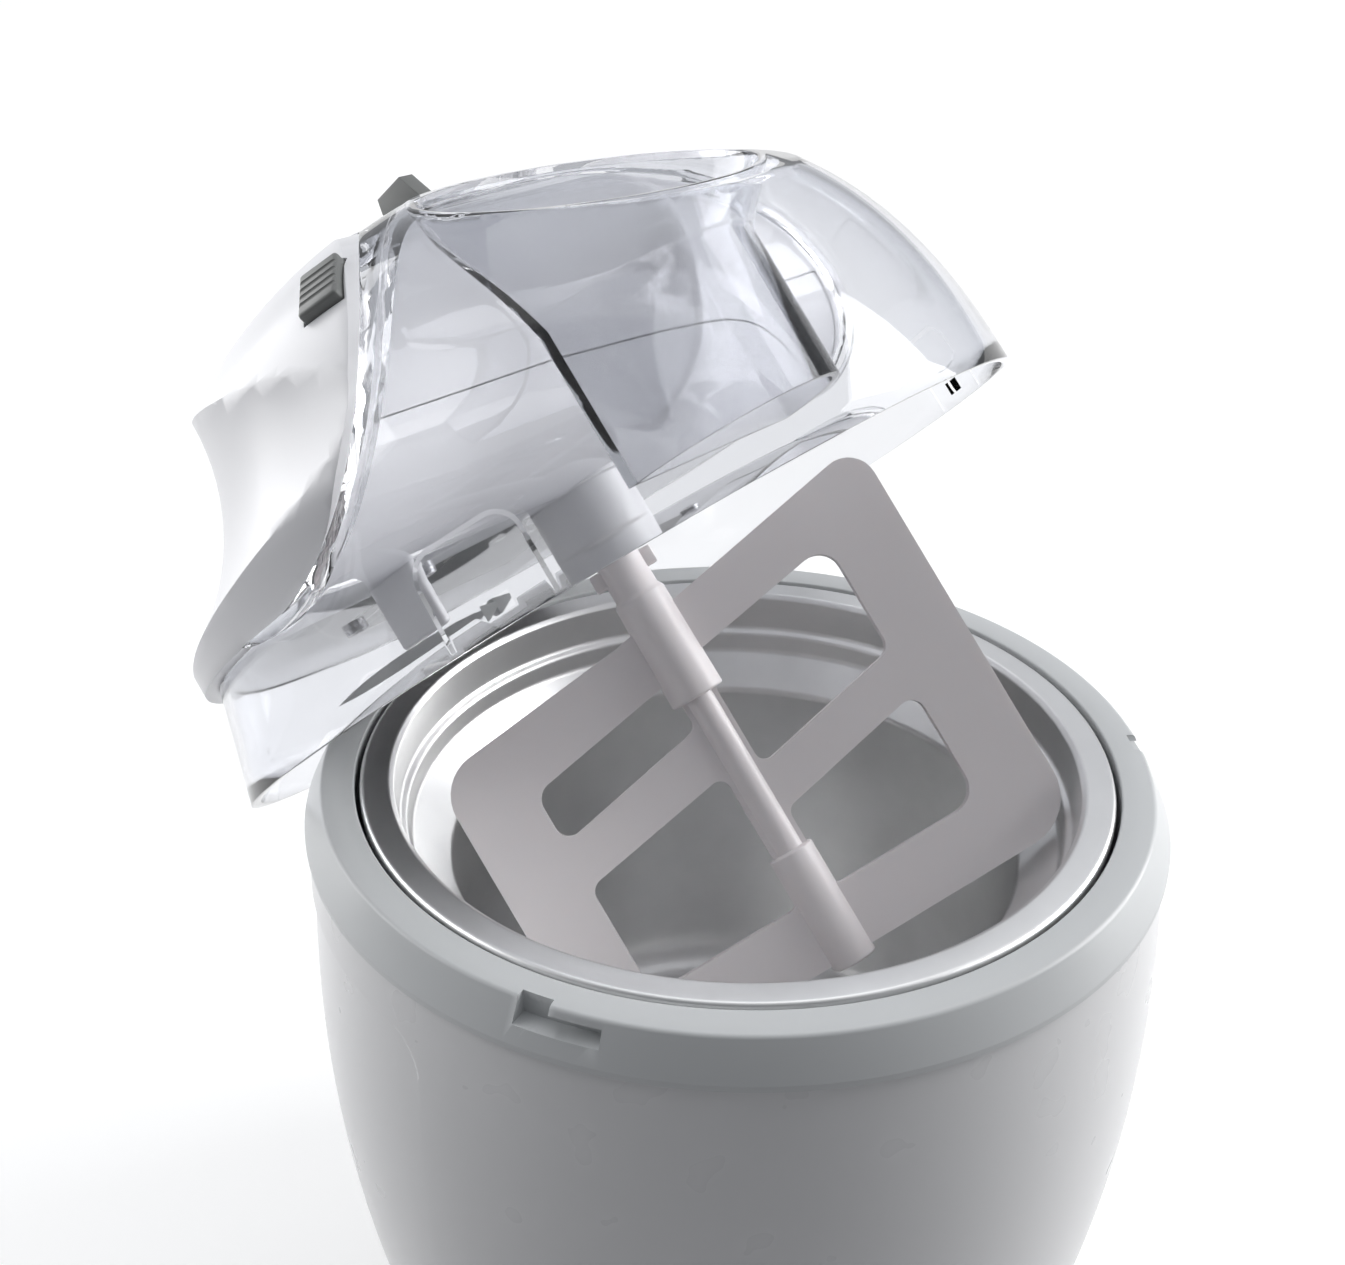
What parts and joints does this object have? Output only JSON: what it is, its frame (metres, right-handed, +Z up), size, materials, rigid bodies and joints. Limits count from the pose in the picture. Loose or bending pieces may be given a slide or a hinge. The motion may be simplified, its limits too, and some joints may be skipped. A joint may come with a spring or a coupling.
{
  "type": "ice cream maker",
  "caption": "White bowl-type ice cream maker: round base, metal freezer bowl, clear domed lid with feed chute and motor unit lifted over it, flat mixing paddle.",
  "frame": {"origin": "on the table, under the centre of the round base", "axes": "+Z up, front of the base (the side that carried the printed mark) towards -Y, +X to the right seen from the front"},
  "size_m": [0.2359, 0.2632, 0.3373],
  "materials": {
    "white_shell": "smooth, slightly glossy white moulding",
    "grey_collar": "light grey satin moulding",
    "inner_plastic": "plain moulding, hidden",
    "rubber": "soft matt",
    "steel": "plated steel",
    "bowl_metal": "satin spun aluminium",
    "gel": "sealed coolant, hidden",
    "clear_plastic": "clear moulded plastic, slightly blue at the edges",
    "dark_plastic": "moulded, hidden",
    "bronze": "sintered bronze and brass",
    "magnet": "ferrite",
    "board": "circuit board with its parts",
    "copper": "wound armature",
    "gear_plastic": "natural acetal",
    "paddle_plastic": "satin off-white with a faint pink tone",
    "grey_plastic": "dark grey satin moulding"
  },
  "bodies": {
    "body": {"housing": "white_shell", "collar_ring": "grey_collar", "inner_tub": "inner_plastic", "base_cover": "white_shell", "rubber_feet": "rubber", "base_screws": "steel", "bowl_liner": "bowl_metal", "bowl_shell": "bowl_metal", "coolant_gel": "gel", "bowl_seal": "rubber", "lid_shell": "clear_plastic", "motor_top_cover": "white_shell", "motor_base_cover": "white_shell", "cover_screws": "steel", "gearbox_floor": "dark_plastic", "gearbox_plate": "dark_plastic", "gearbox_screws": "steel", "gear_pins": "steel", "output_bush": "bronze", "spindle_seal": "rubber", "motor_can": "steel", "motor_magnets": "magnet", "motor_end_cap": "dark_plastic", "motor_bushes": "bronze", "switch_body": "dark_plastic", "rectifier_board": "board", "cord_grommet": "white_shell", "button_spring_left": "steel", "button_spring_right": "steel"},
    "paddle_drive": {"output_gear": "gear_plastic", "drive_spindle": "steel", "paddle": "paddle_plastic"},
    "second_gear_set": {"second_gear": "gear_plastic"},
    "first_gear_set": {"first_gear": "gear_plastic"},
    "rotor": {"motor_rotor": "copper", "motor_pinion": "bronze"},
    "knob": {"switch_knob": "grey_plastic"},
    "button_left": {"release_button_left": "grey_plastic"},
    "button_right": {"release_button_right": "grey_plastic"}
  },
  "joints": [
    {"name": "paddle_turn", "type": "hinge", "parent": "body", "child": "paddle_drive", "pos_m": [-0.0101, 0.0336, 0.2228], "axis": [0.176, -0.6615, -0.729], "range_deg": [0, 85]},
    {"name": "second_gear_turn", "type": "hinge", "parent": "body", "child": "second_gear_set", "pos_m": [-0.03651, 0.07136, 0.24251], "axis": [0.176, -0.6615, -0.729], "range_deg": [-350, 0]},
    {"name": "first_gear_turn", "type": "hinge", "parent": "body", "child": "first_gear_set", "pos_m": [-0.02172, 0.08647, 0.23923], "axis": [0.176, -0.6615, -0.729], "range_deg": [0, 1153]},
    {"name": "rotor_turn", "type": "hinge", "parent": "body", "child": "rotor", "pos_m": [-0.03577, 0.11241, 0.24111], "axis": [0.176, -0.6615, -0.729], "range_deg": [-3808, 0]},
    {"name": "knob_turn", "type": "hinge", "parent": "body", "child": "knob", "pos_m": [-0.02999, 0.10835, 0.30517], "axis": [-0.176, 0.6615, 0.729], "range_deg": [0, 60]},
    {"name": "button_left_press", "type": "slide", "parent": "body", "child": "button_left", "axis": [0.6167, -0.1193, -0.7781], "range_m": [0, 0.002], "stiffness_N_per_m": 400, "springref_m": -0.002},
    {"name": "button_right_press", "type": "slide", "parent": "body", "child": "button_right", "axis": [-0.5058, -0.504, -0.7001], "range_m": [0, 0.002], "stiffness_N_per_m": 400, "springref_m": -0.002}
  ],
  "couplings": [
    {"joint": "second_gear_turn", "follows": "paddle_turn", "ratio": -4},
    {"joint": "first_gear_turn", "follows": "paddle_turn", "ratio": 13.333},
    {"joint": "rotor_turn", "follows": "paddle_turn", "ratio": -44.444}
  ]
}
